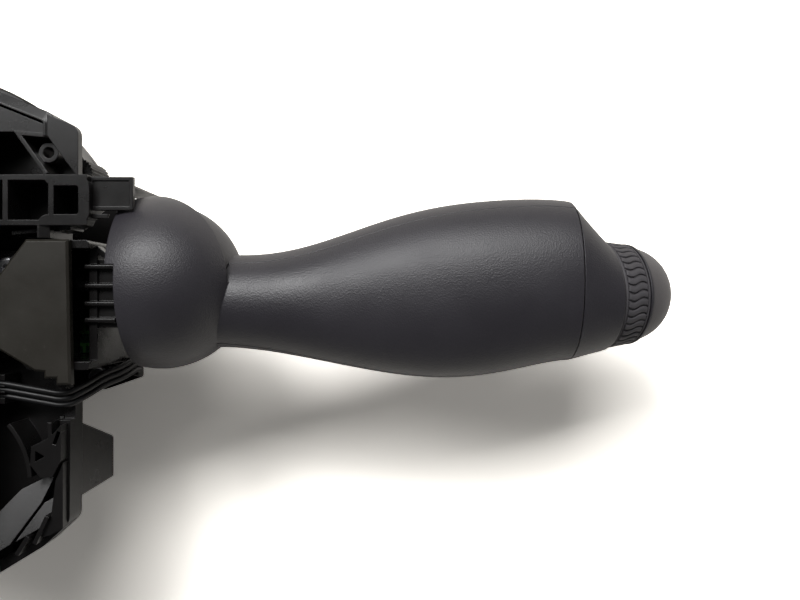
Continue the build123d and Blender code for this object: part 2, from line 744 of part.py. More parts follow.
with BuildPart() as detent_plate:
    with BuildSketch(Plane.YZ.offset(detent_back)):
        with Locations((0, axis_z)):
            Rectangle(detent_y, detent_z)
    extrude(amount=detent_t + 1.4)
    with Locations(hub):
        Sphere(detent_r, mode=Mode.SUBTRACT)
    # a click notch at each indicator position
    with BuildSketch(Plane.XY.offset(axis_z - detent_z / 2)):
        for angle in (-turn_angle, 0, turn_angle):
            reach = detent_r + click_depth - click_r
            with Locations((hub_x - reach * cos(radians(angle)), reach * sin(radians(angle)))):
                Circle(click_r)
    extrude(amount=detent_z, mode=Mode.SUBTRACT)
detent_plate.part.label = "detent_plate"

# ================================================================ gimbal
with BuildPart() as turn_yoke:
    with Locations(hub):
        Box(yoke_x, yoke_y, yoke_z)
    fillet(turn_yoke.edges().filter_by(Axis.Z), radius=1.5)
    with Locations(hub):
        Box(yoke_x, yoke_y - 2 * yoke_side, yoke_z - 2 * yoke_top, mode=Mode.SUBTRACT)
        Cylinder(pin_r + seat_gap, yoke_z, mode=Mode.SUBTRACT)
        Cylinder(pin_r + seat_gap, yoke_y, rotation=(90, 0, 0), mode=Mode.SUBTRACT)
turn_yoke.part.label = "turn_yoke"

yoke_pin_start = yoke_z / 2 - yoke_top
with BuildPart() as yoke_pins:
    for side in (1, -1):
        with BuildSketch(Plane.XY.offset(axis_z + side * yoke_pin_start)):
            with Locations((hub_x, 0)):
                Circle(pin_r)
        extrude(amount=side * (ear_z + ear_t - yoke_pin_start))
yoke_pins.part.label = "yoke_pins"

with BuildPart() as lever_pin:
    with Locations(hub):
        Cylinder(pin_r, yoke_y, rotation=(90, 0, 0))
    chamfer(lever_pin.edges().filter_by(GeomType.CIRCLE), length=0.3)
lever_pin.part.label = "lever_pin"

shank_reach = 8.0
core_throat_x = 95.0
plunger_back = hub_x - plunger_reach + plunger_length
tail_bore_end = hub_x - 4.0
with BuildPart() as lever_core:
    # square shank in the yoke and the round tail behind it
    with Locations(hub):
        Box(2 * shank_reach, core_y, core_z)
    with BuildSketch(Plane.YZ.offset(hub_x - tail_reach)):
        with Locations((0, axis_z)):
            Circle(tail_r)
    extrude(amount=tail_reach - shank_reach + 1)
    # throat that swings across from the pivot to the neck's axis
    with BuildSketch(Plane.YZ.offset(hub_x + shank_reach)):
        with Locations((0, axis_z)):
            RectangleRounded(core_y, core_z, 1)
    with BuildSketch(Plane.YZ.offset(core_throat_x)):
        with Locations((neck_y, axis_z)):
            Circle(core_shaft_r)
    loft()
    with BuildSketch(Plane.YZ.offset(core_throat_x)):
        with Locations((neck_y, axis_z)):
            Circle(core_shaft_r)
    extrude(amount=core_end_x - core_throat_x)
    # collars each side of the neck's web
    with BuildSketch(Plane.YZ.offset(web_x - 0.1), Plane.YZ.offset(web_x + web_t + 1.7)):
        with Locations((neck_y, axis_z)):
            Circle(core_collar_r)
    extrude(amount=-1.6)
    # wire way from the end, pin hole, plunger bore
    with BuildSketch(Plane.YZ.offset(core_end_x)):
        with Locations((neck_y, axis_z)):
            Circle(core_shaft_r - 2.5)
    extrude(amount=core_throat_x - core_end_x - 3, mode=Mode.SUBTRACT)
    with Locations(hub):
        Cylinder(pin_r + seat_gap, core_y, rotation=(90, 0, 0), mode=Mode.SUBTRACT)
    with BuildSketch(Plane.YZ.offset(hub_x - tail_reach)):
        with Locations((0, axis_z)):
            Circle(plunger_r + seat_gap)
    extrude(amount=tail_bore_end - hub_x + tail_reach, mode=Mode.SUBTRACT)
lever_core.part.label = "lever_core"

with BuildPart() as detent_plunger:
    with BuildSketch(Plane.YZ.offset(hub_x - plunger_reach + plunger_r)):
        with Locations((0, axis_z)):
            Circle(plunger_r)
    extrude(amount=plunger_length - plunger_r)
    with Locations((hub_x - plunger_reach + plunger_r, 0, axis_z)):
        Sphere(plunger_r)
detent_plunger.part.label = "detent_plunger"


def coil(start, direction, length, radius, wire_r, turns):
    """Round-wire compression spring from start, along direction."""
    with BuildPart() as spring:
        with BuildLine() as path:
            Helix(pitch=length / turns, height=length, radius=radius, center=start, direction=direction)
        with BuildSketch(Plane(origin=path.line @ 0, z_dir=path.line % 0)):
            Circle(wire_r)
        sweep(is_frenet=True)
    return spring


detent_wire_r = 0.25
detent_spring = coil(
    start=(plunger_back + detent_wire_r + 0.05, 0, axis_z),
    direction=(1, 0, 0),
    length=tail_bore_end - plunger_back - 2 * detent_wire_r - 0.1,
    radius=plunger_r - 0.5,
    wire_r=detent_wire_r,
    turns=5,
)
detent_spring.part.label = "detent_spring"

# ================================================================ lever skin
knob_dir = Vector(
    cos(radians(knob_pitch)) * cos(radians(knob_yaw)),
    cos(radians(knob_pitch)) * sin(radians(knob_yaw)),
    -sin(radians(knob_pitch)),
)
knob_side = Vector(-sin(radians(knob_yaw)), cos(radians(knob_yaw)), 0)
knob = Plane(origin=(knob_x, knob_y, knob_z), x_dir=knob_side, z_dir=knob_dir)
knob_lengthwise = Plane(origin=knob.origin, x_dir=knob_dir, z_dir=knob_side)
knob_axis = Axis(knob.origin, knob_dir)
seam = Plane(
    origin=(seam_x, 0, axis_z + seam_rise),
    z_dir=(sin(radians(seam_fall)), -sin(radians(seam_tilt)), 1),
)


def lever_section(plane, high, low, rear, front, fullness):
    """Rounded outline across the lever: four Bezier quarters between its four extremes."""
    mid = (high + low) / 2
    top, right, bottom, left = (mid, rear), (high, 0), (mid, -front), (low, 0)
    quarters = [(top, right), (right, bottom), (bottom, left), (left, top)]
    with BuildSketch(plane) as outline:
        with BuildLine():
            for start, end in quarters:
                corner = (start[0] + end[0] - mid, start[1] + end[1])
                first = tuple(s + fullness * (c - s) for s, c in zip(start, corner))
                last = tuple(e + fullness * (c - e) for e, c in zip(end, corner))
                Bezier(start, first, last, end)
        make_face()
    return outline.sketch


def cut_plane(cut):
    """Plane of one of the lever's cuts."""
    x, height, tilt = cut[:3]
    lean = radians(tilt)
    return Plane(origin=(x, 0, height), x_dir=(0, 1, 0), z_dir=(cos(lean), 0, -sin(lean)))


def lever_cut(cut, inset=0.0):
    """Section of the lever at one of its cuts, moved inwards by inset."""
    high, low, rear, front, fullness = cut[3:]
    plane = cut_plane(cut)
    return lever_section(plane, high - inset, low + inset, rear - inset, front - inset, fullness)


def lever_end(inset=0.0):
    """Round section where the shoulder meets the knob."""
    radius = shoulder_r - inset
    return lever_section(knob, radius, -radius, radius, radius, 0.5523)


def paddle_form(inset=0.0):
    """Lever from inside the ball to the crease, solid."""
    with BuildPart() as form:
        loft(sections=[lever_cut(cut, inset) for cut in lever_cuts])
    return form.part


def shoulder_form(inset=0.0):
    """Straight-sided shoulder from the crease to the knob, solid."""
    with BuildPart() as form:
        loft(sections=[lever_cut(lever_cuts[-1], inset), lever_end(inset)], ruled=True)
    return form.part


def neck_web():
    """Slab across the neck that grips the core between its collars."""
    with BuildPart() as web:
        with BuildSketch(Plane.YZ.offset(web_x)):
            with Locations((neck_y, axis_z)):
                Circle(2 * core_shaft_r)
        extrude(amount=web_t)
        add(paddle_form(0.5), mode=Mode.INTERSECT)
        with BuildSketch(Plane.YZ.offset(web_x)):
            with Locations((neck_y, axis_z)):
                Circle(core_shaft_r + seat_gap)
        extrude(amount=web_t, mode=Mode.SUBTRACT)
    return web.part


crease = cut_plane(lever_cuts[-1])
paddle = paddle_form()
paddle_hollow = paddle_form(skin)
shoulder = shoulder_form()
shoulder_hollow = shoulder_form(skin)
web = neck_web()

with BuildPart() as paddle_skin:
    add(paddle)
    add(paddle_hollow, mode=Mode.SUBTRACT)
    add(web)

# ball of the rear cover, open towards the housing and cut away at the high front side
cut_slope = 0.36
cut_rise = 4.3
ball_span = 1.2 * ball_r
lap = 4.5                    # how far the inner ball tucks under the outer one
low_edge = -8.0
with BuildPart() as outer_ball:
    with Locations(hub):
        Sphere(ball_r)
        Sphere(ball_r - ball_wall, mode=Mode.SUBTRACT)
    with BuildSketch(Plane.YZ.offset(hub_x + rim_x)):
        with Locations((0, axis_z)):
            Rectangle(3 * ball_r, 3 * ball_r)
    extrude(amount=-ball_r, mode=Mode.SUBTRACT)
    with BuildSketch(Plane.YZ.offset(hub_x + rim_x + rim_notch)):
        with Locations((rim_notch_y, axis_z)):
            Rectangle(2 * ball_r, 3 * ball_r, align=(Align.MAX, Align.CENTER))
    extrude(amount=-ball_r, mode=Mode.SUBTRACT)
    with BuildSketch(Plane.XZ):
        with BuildLine():
            Polyline(
                (hub_x - ball_span, axis_z + cut_rise - cut_slope * ball_span),
                (hub_x + ball_span, axis_z + cut_rise + cut_slope * ball_span),
                (hub_x + ball_span, axis_z - ball_span), (hub_x - ball_span, axis_z - ball_span),
                close=True,
            )
        make_face()
    extrude(amount=-ball_span, mode=Mode.SUBTRACT)
    with BuildSketch(Plane.XZ):
        with Locations((hub_x, axis_z + low_edge)):
            Rectangle(2 * ball_span, ball_span, align=(Align.CENTER, Align.MAX))
    extrude(amount=ball_span, mode=Mode.SUBTRACT)
    add(paddle, mode=Mode.SUBTRACT)

# ball of the front cover, nested inside the outer one
with BuildPart() as inner_ball:
    with Locations(hub):
        Sphere(cup_r)
        Sphere(cup_inner_r, mode=Mode.SUBTRACT)
    with BuildSketch(Plane.YZ.offset(hub_x + rim_x + rim_notch)):
        with Locations((0, axis_z)):
            Rectangle(3 * ball_r, 3 * ball_r)
    extrude(amount=-ball_r, mode=Mode.SUBTRACT)
    with BuildSketch(Plane.XZ):
        with BuildLine():
            Polyline(
                (hub_x - ball_span, axis_z + cut_rise + lap - cut_slope * ball_span),
                (hub_x + ball_span, axis_z + cut_rise + lap + cut_slope * ball_span),
                (hub_x + ball_span, axis_z + 2 * ball_span), (hub_x - ball_span, axis_z + 2 * ball_span),
                close=True,
            )
        make_face()
    extrude(amount=ball_span, both=True, mode=Mode.SUBTRACT)
    add(paddle, mode=Mode.SUBTRACT)

with BuildPart() as stalk_rear_cover:
    add(paddle_skin.part)
    with Locations(hub):
        Sphere(ball_r - ball_wall, mode=Mode.SUBTRACT)
    split(bisect_by=seam.offset(seam_gap), keep=Keep.TOP)
    # parting line at the crease
    with BuildSketch(crease):
        Rectangle(4 * ball_r, 4 * ball_r)
    extrude(amount=-seam_gap, mode=Mode.SUBTRACT)
    add(outer_ball.part)
stalk_rear_cover.part.label = "stalk_rear_cover"

board_posts = [(119.0, -4.5), (139.0, -3.0), (158.0, -1.5)]
stalk_board_z = 45.0
with BuildPart() as board_seats:
    with BuildSketch(Plane.XY.offset(stalk_board_z)):
        with Locations(*board_posts):
            Circle(board_post_r)
    extrude(amount=-2 * ball_r)
    add(paddle_form(0.5), mode=Mode.INTERSECT)

with BuildPart() as stalk_front_cover:
    add(paddle_skin.part)
    with Locations(hub):
        Sphere(cup_inner_r, mode=Mode.SUBTRACT)
    split(bisect_by=seam, keep=Keep.BOTTOM)
    add(shoulder)
    add(shoulder_hollow, mode=Mode.SUBTRACT)
    add(inner_ball.part)
    add(board_seats.part)
stalk_front_cover.part.label = "stalk_front_cover"

board_corners = [
    (112.0, -12.5), (112.0, 3.5), (124.0, 8.0), (140.0, 12.0),
    (163.0, 13.5), (163.0, -13.5), (140.0, -16.0), (124.0, -15.0),
]
with BuildPart() as stalk_board:
    with BuildSketch(Plane.XY.offset(stalk_board_z)) as board_outline:
        with BuildLine():
            Polyline(*board_corners, close=True)
        make_face()
        fillet(board_outline.vertices(), radius=1)
    extrude(amount=board_t)
    with BuildSketch(Plane.XY.offset(stalk_board_z + board_t)):
        with Locations((118, -4.5)):
            Rectangle(5, 8)
        with Locations((146, 0)):
            Rectangle(8, 8)
    extrude(amount=2)
stalk_board.part.label = "stalk_board"

# ================================================================ knob
spindle_bore_r = spindle_r - spindle_wall
flange_inner = -1.6
tray_start = -12.0
tray_r = 7.5
spindle_end = 9.5
with BuildPart() as knob_spindle:
    with BuildSketch(knob.offset(flange_inner)):
        Circle(shoulder_r - skin - 2 * run_gap)
    extrude(amount=-flange_inner)
    with BuildSketch(knob.offset(tray_start)):
        Circle(tray_r)
    extrude(amount=flange_inner - tray_start)
    with BuildSketch(knob):
        Circle(spindle_r)
    extrude(amount=spindle_end)
    with BuildSketch(knob.offset(tray_start)):
        Circle(spindle_bore_r)
    extrude(amount=spindle_end - tray_start, mode=Mode.SUBTRACT)
    # slots of the clip fingers in the tray
    with BuildSketch(knob.offset(tray_start)):
        Rectangle(3, 3 * tray_r)
    extrude(amount=6, mode=Mode.SUBTRACT)
knob_spindle.part.label = "knob_spindle"

carrier_r = band_tip_r - band_wall + 0.5
hub_end = 5.0
web_depth = 1.8
with BuildPart() as grip_carrier:
    with BuildSketch(knob_lengthwise):
        with BuildLine():
            Polyline(
                (band_start, spindle_r + run_gap), (hub_end, spindle_r + run_gap),
                (hub_end, spindle_r + 1.6), (band_start + web_depth, spindle_r + 1.6),
                (band_start + web_depth, carrier_r - 1.0), (hub_end, carrier_r - 1.0),
                (hub_end, carrier_r), (band_start, carrier_r), close=True,
            )
        make_face()
    revolve(axis=knob_axis)
grip_carrier.part.label = "grip_carrier"

with BuildPart() as grip_ring:
    with BuildSketch(knob_lengthwise):
        with BuildLine():
            Polyline(
                (band_start, carrier_r + seat_gap), (band_start, band_r - 0.5),
                (band_start + 0.8, band_r - 0.5), (band_start + 0.8, band_r),
                (band_end - 0.8, band_tip_r), (band_end - 0.8, band_tip_r - 0.4),
                (band_end, band_tip_r - 0.4), (band_end, carrier_r + seat_gap), close=True,
            )
        make_face()
    revolve(axis=knob_axis)
grip_ring.part.label = "grip_ring"

trim_groove = 0.3            # dark line on each side of the trim
trim_foot_r = band_tip_r - 0.45
with BuildPart() as trim_ring:
    with BuildSketch(knob_lengthwise):
        with BuildLine():
            Polyline(
                (band_end, cap_r + 0.15), (band_end, trim_foot_r), (band_end + trim_groove, trim_foot_r),
                (band_end + trim_groove, band_tip_r), (trim_end - trim_groove, band_tip_r - 0.1),
                (trim_end - trim_groove, trim_foot_r), (trim_end, trim_foot_r), (trim_end, cap_r + 0.15),
                close=True,
            )
        make_face()
    revolve(axis=knob_axis)
trim_ring.part.label = "trim_ring"

stem_r = spindle_bore_r - 0.15
stem_end = 2.0
dome_start = trim_end + 0.1
with BuildPart() as end_button:
    with BuildSketch(knob_lengthwise):
        with BuildLine():
            Line((stem_end, 0), (cap_tip, 0))
            Bezier((cap_tip, 0), (17.9, 8.1), (13.4, 10.8), (dome_start, cap_r))
            Line((dome_start, cap_r), (cap_skirt, cap_r))
            Line((cap_skirt, cap_r), (cap_skirt, cap_r - cap_wall))
            Line((cap_skirt, cap_r - cap_wall), (dome_start, cap_r - cap_wall))
            Bezier((dome_start, cap_r - cap_wall), (12.6, 9.3), (15.0, 7.0), (16.0, stem_r))
            Line((16.0, stem_r), (stem_end, stem_r))
            Line((stem_end, stem_r), (stem_end, 0))
        make_face()
    revolve(axis=knob_axis)
end_button.part.label = "end_button"

switch_top = -5.0
with BuildPart() as button_switch:
    with BuildSketch(knob.offset(tray_start + 1)):
        Rectangle(6, 6)
    extrude(amount=switch_top - tray_start - 2)
    with BuildSketch(knob.offset(switch_top - 1)):
        Circle(2.2)
    extrude(amount=1)
button_switch.part.label = "button_switch"

button_wire_r = 0.35
button_spring_start = knob.from_local_coords((0, 0, switch_top + button_wire_r + 0.05))
button_spring = coil(
    start=button_spring_start,
    direction=knob_dir,
    length=stem_end - switch_top - 2 * button_wire_r - 0.1,
    radius=spindle_bore_r - 0.9,
    wire_r=button_wire_r,
    turns=4,
)
button_spring.part.label = "button_spring"

# ================================================================ connector
socket_right = 58.0
socket_left = 36.0
socket_low = -50.0
socket_high = -39.2          # at the front edge; the back slopes out towards the deck
socket_high_deck = -32.3
socket_floor = -43.0         # bottom of the socket
socket_front = 34.0
socket_wall = 2.0
pin_size = 0.64
pin_rows = 2
pin_count = 6
pin_pitch = 2.6
pin_length = 10.3
socket_mid = ((socket_left + socket_right) / 2, (socket_front + deck_z) / 2)
with BuildPart() as connector_shell:
    with BuildSketch(Plane.YZ.offset(socket_left)):
        with BuildLine():
            Polyline(
                (socket_low, socket_front), (socket_high, socket_front),
                (socket_high_deck, deck_z), (socket_low, deck_z), close=True,
            )
        make_face()
    extrude(amount=socket_right - socket_left)
    chamfer(connector_shell.faces().sort_by(Axis.X)[-1].edges(), length=0.6)
    with BuildSketch(Plane.XZ.offset(-socket_low)):
        with Locations(socket_mid):
            RectangleRounded(
                socket_right - socket_left - 2 * socket_wall, deck_z - socket_front - 2 * socket_wall, 1
            )
    extrude(amount=socket_low - socket_floor, mode=Mode.SUBTRACT)
    with BuildSketch(Plane.XZ.offset(-socket_high_deck)):
        with Locations(socket_mid):
            with GridLocations(pin_pitch, 2 * pin_pitch, pin_count, pin_rows):
                Rectangle(pin_size + 2 * seat_gap, pin_size + 2 * seat_gap)
    extrude(amount=socket_high_deck - socket_floor, mode=Mode.SUBTRACT)
connector_shell.part.label = "connector_shell"

with BuildPart() as connector_pins:
    with BuildSketch(Plane.XZ.offset(-socket_high_deck + 3.9)):
        with Locations(socket_mid):
            with GridLocations(pin_pitch, 2 * pin_pitch, pin_count, pin_rows):
                Rectangle(pin_size, pin_size)
    extrude(amount=pin_length)
connector_pins.part.label = "connector_pins"

# ================================================================ harness
print("strand bend radii", [round(radius, 1) for radius in bend_radii(strand_route)])
with BuildPart() as harness_wires:
    for number in range(strand_count):
        add(strand(number, strand_r))
harness_wires.part.label = "harness_wires"

clip_top = 63.2
with BuildPart() as wire_clip:
    with BuildSketch(Plane.XY.offset(deck_top)):
        with Locations(strand_points(1)[clip_corner][:2]):
            Rectangle(3, 6.4)
    extrude(amount=clip_top - deck_top)
    for number in range(strand_count):
        add(strand(number, strand_r + seat_gap), mode=Mode.SUBTRACT)
        x, y, z = strand_points(number)[clip_corner]
        with BuildSketch(Plane.XY.offset(z)):
            with Locations((x, y)):
                Rectangle(6, 2 * strand_r - 0.3)
        extrude(amount=4, mode=Mode.SUBTRACT)
wire_clip.part.label = "wire_clip"

# ================================================================ bracket and screws
bracket_corners = [(47.4, -22.1), (61.8, -22.1), (61.8, -25.1), (52.2, -28.4), (47.4, -28.4)]
bracket_t = 2.0
with BuildPart() as lower_bracket:
    with BuildSketch(Plane.XY.offset(flange_top)) as bracket_outline:
        with BuildLine():
            Polyline(*bracket_corners, close=True)
        make_face()
        fillet(bracket_outline.vertices(), radius=0.8)
        with Locations(bracket_screw):
            Circle(screw_core_r + 0.4, mode=Mode.SUBTRACT)
    extrude(amount=bracket_t)
lower_bracket.part.label = "lower_bracket"

screw_r = screw_core_r - seat_gap
screw_head_r = 2.6
screw_head_h = 1.8


def pan_screws(places, seat_z, length):
    """Identical pan-head screws, heads on seat_z, shanks towards the front."""
    with BuildPart() as screws:
        with BuildSketch(Plane.XY.offset(seat_z)):
            with Locations(*places):
                Circle(screw_head_r)
        extrude(amount=screw_head_h)
        fillet(screws.edges().filter_by(GeomType.CIRCLE).group_by(Axis.Z)[-1], radius=0.8)
        with BuildSketch(Plane.XY.offset(seat_z)):
            with Locations(*places):
                Circle(screw_r)
        extrude(amount=-length)
        with BuildSketch(Plane.XY.offset(seat_z + screw_head_h)):
            with Locations(*places):
                RegularPolygon(1.1, 6)
        extrude(amount=-1.1, mode=Mode.SUBTRACT)
    return screws


cover_screw_set = pan_screws(cover_screws, rim_z + cover_t, 9)
cover_screw_set.part.label = "cover_screws"
box_screw_set = pan_screws(box_screws, deck_top + box_flange_t, box_flange_t + deck_t - 0.2)
box_screw_set.part.label = "box_screws"
bracket_screw_set = pan_screws([bracket_screw], flange_top + bracket_t, bracket_t + flange_t - 0.4)
bracket_screw_set.part.label = "bracket_screw"

# ================================================================ files
pieces = [
    clockspring_case, clockspring_rotor, flex_cable, column_carrier, rear_frame, main_board, rear_cover,
    switch_case, switch_cover, contact_board, detent_plate, turn_yoke, yoke_pins, lever_pin, lever_core,
    detent_plunger, detent_spring, stalk_rear_cover, stalk_front_cover, stalk_board, knob_spindle,
    grip_carrier, grip_ring, trim_ring, end_button, button_switch, button_spring, connector_shell,
    connector_pins, harness_wires, wire_clip, lower_bracket, cover_screw_set, box_screw_set, bracket_screw_set,
]
for piece in pieces:
    export_step(piece.part, f"parts/{piece.part.label}.step")
    print(piece.part.label, round(piece.part.volume, 1))
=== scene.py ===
# %% [markdown]
# # A steering column stalk switch
# The module lies on its front face, so its rear side looks up. A long lever comes out of a
# ball in the housing and ends in a textured turning band and a push button. The mechanical
# model is the fixed frame: every node sits where it belongs, in metres. This lesson dresses
# it, with finishes for each node and finer meshes for what the hand and eye meet first.

# %% Load the mechanical model
import json
import math
import bpy
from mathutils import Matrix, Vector


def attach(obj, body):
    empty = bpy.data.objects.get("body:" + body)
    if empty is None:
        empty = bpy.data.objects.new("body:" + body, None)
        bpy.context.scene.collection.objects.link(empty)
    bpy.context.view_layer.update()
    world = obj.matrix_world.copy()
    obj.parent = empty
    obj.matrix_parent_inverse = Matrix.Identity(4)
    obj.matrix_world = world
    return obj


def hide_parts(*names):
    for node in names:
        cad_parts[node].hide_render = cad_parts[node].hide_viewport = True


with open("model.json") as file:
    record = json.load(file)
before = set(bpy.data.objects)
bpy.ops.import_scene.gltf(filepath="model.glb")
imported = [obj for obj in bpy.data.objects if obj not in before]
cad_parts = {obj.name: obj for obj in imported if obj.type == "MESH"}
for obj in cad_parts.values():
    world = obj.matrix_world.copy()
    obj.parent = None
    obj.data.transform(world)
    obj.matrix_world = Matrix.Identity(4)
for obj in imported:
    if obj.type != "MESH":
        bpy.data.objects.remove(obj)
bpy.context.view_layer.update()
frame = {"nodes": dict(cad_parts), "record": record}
MM = 0.001
bpy.ops.object.select_all(action="DESELECT")

# %% [markdown]
# ## Camera
# The viewer looks straight down on the module from a short distance, so parts near the
# camera look larger. A 33.3 mm lens on a 36 mm sensor, 226 mm above the table, gives that
# view. The camera needs no turning: an unturned camera already looks down.

# %% Set the camera
SENSOR = 36.0
LENS = 33.3
CAMERA_PLACE = Vector((132.1, -4.16, 226.0)) * MM

camera_data = bpy.data.cameras.new("camera")
camera_data.sensor_width = SENSOR
camera_data.lens = LENS
camera_data.clip_start = 0.01
camera = bpy.data.objects.new("camera", camera_data)
camera.location = CAMERA_PLACE
bpy.context.scene.collection.objects.link(camera)
bpy.context.scene.camera = camera
print("camera at", tuple(round(c, 4) for c in camera.location))

# %% [markdown]
# ## Shader arithmetic
# Procedural finishes need a lot of small sums. Joining Math nodes by hand hides what they
# mean, so one class wraps a socket and lets Python's + and * add the nodes. A single
# method makes every other kind of node.


# %% Define the shader wire
class Wire:
    """A shader socket. + and * on it add Math nodes, and node() adds any other node."""

    def __init__(self, tree, socket=None):
        self.tree = tree
        self.socket = socket

    def node(self, kind, settings=None, inputs=None, output=0):
        made = self.tree.nodes.new("ShaderNode" + kind)
        for name, value in (settings or {}).items():
            setattr(made, name, value)
        for name, value in (inputs or {}).items():
            if isinstance(value, Wire):
                self.tree.links.new(value.socket, made.inputs[name])
            else:
                made.inputs[name].default_value = value
        return Wire(self.tree, made.outputs[output] if made.outputs else None)

    def math(self, operation, *values):
        settings = {"operation": operation}
        return self.node("Math", settings, dict(enumerate(values)))

    def __add__(self, other):
        return self.math("ADD", self, other)

    def __mul__(self, other):
        return self.math("MULTIPLY", self, other)


# %% Define colour and surface helpers
def tint(red, green, blue):
    """A linear colour from the 0 to 255 values that a painter would name."""
    def linear(value):
        share = value / 255
        return share / 12.92 if share <= 0.04045 else ((share + 0.055) / 1.055) ** 2.4
    return (linear(red), linear(green), linear(blue), 1.0)


def scaled(colour, factor):
    """The same colour, brighter with a factor above 1 and darker below it."""
    return tuple(share * factor for share in colour[:3]) + (1.0,)


def begin(name):
    """A new empty material and the wire that starts its node tree."""
    material = bpy.data.materials.new(name)
    material.use_nodes = True
    material.node_tree.nodes.clear()
    return material, Wire(material.node_tree)


def place(start):
    """Places on the piece itself, so that a finish stays put when its body moves."""
    return start.node("TexCoord", output="Object")


def noise(start, size_mm, detail=2.0, roughness=0.5):
    """Soft random values from 0 to 1, with blotches of about size_mm."""
    inputs = {
        "Vector": place(start), "Scale": 1 / (size_mm * MM),
        "Detail": detail, "Roughness": roughness,
    }
    return start.node("TexNoise", None, inputs)


def cells(start, size_mm):
    """Distance from the middles of random cells of about size_mm."""
    inputs = {"Vector": place(start), "Scale": 1 / (size_mm * MM)}
    return start.node("TexVoronoi", None, inputs)


def between(value, low, high, out_low=0.0, out_high=1.0):
    """Maps low..high to out_low..out_high, and holds the ends."""
    inputs = {0: value, 1: low, 2: high, 3: out_low, 4: out_high}
    return value.node("MapRange", {"clamp": True}, inputs)


# Mix repeats its socket names for each type of data, so its colour sockets go by number.
MIX_SHARE, MIX_FIRST, MIX_SECOND, MIX_COLOUR = 0, 6, 7, 2


def mix(share, first, second):
    """Mixes two colours; share 0 gives the first."""
    inputs = {MIX_SHARE: share, MIX_FIRST: first, MIX_SECOND: second}
    return share.node("Mix", {"data_type": "RGBA"}, inputs, output=MIX_COLOUR)


def bump(height, depth_mm, strength, under=None):
    """Tilts the shading as a relief of depth_mm would, on top of the normal under it."""
    inputs = {"Height": height, "Strength": strength, "Distance": depth_mm * MM}
    if under:
        inputs["Normal"] = under
    return height.node("Bump", None, inputs)


def close(start, colour, roughness, **others):
    """Joins colour, roughness and any other surface values to the material's output."""
    inputs = {"Base Color": colour, "Roughness": roughness}
    inputs.update({name.replace("_", " "): value for name, value in others.items()})
    surface = start.node("BsdfPrincipled", None, inputs)
    start.node("OutputMaterial", None, {"Surface": surface})


# %% [markdown]
# ## Floor and light
# The table is plain white and overexposed: the camera sees it brighter than it lights the
# part, so all but the heart of the shadow burns out to white, and it glows white far out.
# A long soft lamp lies behind the top edge of the view, a small one near the ball makes
# its grain sparkle, and a dim sky fills the shadows.

# %% Lay the floor
FLOOR_SIZE = 4.0
bpy.ops.mesh.primitive_plane_add(size=FLOOR_SIZE)
floor = bpy.context.object
floor.name = "floor"
bpy.ops.object.select_all(action="DESELECT")

floor_paint, start = begin("floor_paint")
FLOOR_COLOUR = tint(246, 242, 235)
EXPOSURE = 2.4
EXPOSED_COLOUR = scaled(FLOOR_COLOUR, EXPOSURE)
GLOW_START, GLOW_END = 0.5, 1.1
seen = start.node("LightPath", output="Is Camera Ray")
paint = start.node("BsdfDiffuse", None, {"Color": mix(seen, FLOOR_COLOUR, EXPOSED_COLOUR)})
rays = [start.node("LightPath", output=kind) for kind in ("Is Glossy Ray", "Is Transmission Ray")]
mirrored = start.math("MAXIMUM", *rays)
reach = start.node("VectorMath", {"operation": "LENGTH"}, {0: place(start)}, output="Value")
glow_level = seen.math("MAXIMUM", seen, mirrored) * between(reach, GLOW_START, GLOW_END)
glow = start.node("Emission", None, {"Color": FLOOR_COLOUR, "Strength": glow_level})
both = start.node("AddShader", None, {0: paint, 1: glow})
start.node("OutputMaterial", None, {"Surface": both})
floor.data.materials.append(floor_paint)

# %% Hang the lamps
def soft_lamp(name, spot, aim, width, depth, power):
    """A rectangle of light, in metres and watts, that faces its aim."""
    lamp = bpy.data.lights.new(name, "AREA")
    lamp.shape = "RECTANGLE"
    lamp.size = width
    lamp.size_y = depth
    lamp.energy = power
    holder = bpy.data.objects.new(name, lamp)
    holder.location = spot
    holder.rotation_euler = (Vector(aim) - Vector(spot)).to_track_quat("-Z", "Y").to_euler()
    bpy.context.scene.collection.objects.link(holder)
    return holder


LEVER_MIDDLE = (0.12, 0.0, 0.04)
WINDOW_PLACE = (-0.05, 0.59, 0.90)
WINDOW_WIDTH, WINDOW_DEPTH, WINDOW_POWER = 1.2, 0.36, 11.4
BULB_PLACE = (-0.02, 0.42, 0.56)
BULB_WIDTH, BULB_POWER = 0.16, 1.5
window = soft_lamp(
    "window_lamp", WINDOW_PLACE, LEVER_MIDDLE, WINDOW_WIDTH, WINDOW_DEPTH, WINDOW_POWER)
bulb = soft_lamp("bulb_lamp", BULB_PLACE, LEVER_MIDDLE, BULB_WIDTH, BULB_WIDTH, BULB_POWER)

world = bpy.data.worlds.new("studio")
world.use_nodes = True
world.node_tree.nodes.clear()
sky = Wire(world.node_tree)
HORIZON_LEVEL = 0.30
ZENITH_LEVEL = 0.05
way = sky.node("TexCoord", output="Generated")
height = sky.node("SeparateXYZ", None, {"Vector": way}, output="Z")
soft = between(height, 0.0, 1.0, HORIZON_LEVEL, ZENITH_LEVEL)
seen = sky.node("LightPath", output="Is Camera Ray")
level = sky.math("MAXIMUM", soft, seen)
air = sky.node("Background", None, {"Color": (1, 1, 1, 1), "Strength": level})
sky.node("OutputWorld", None, {"Surface": air})
bpy.context.scene.world = world
bpy.context.scene.view_settings.view_transform = "Standard"
print("lamps:", window.name, bulb.name)

# %% [markdown]
# ## Stalk plastic
# The lever is a soft-touch charcoal moulding. The mould was spark eroded, which leaves a
# grain of fine round pits. Small cells give the pits, and a slower noise varies the gloss,
# so the highlight on the ball breaks up instead of lying there like varnish.

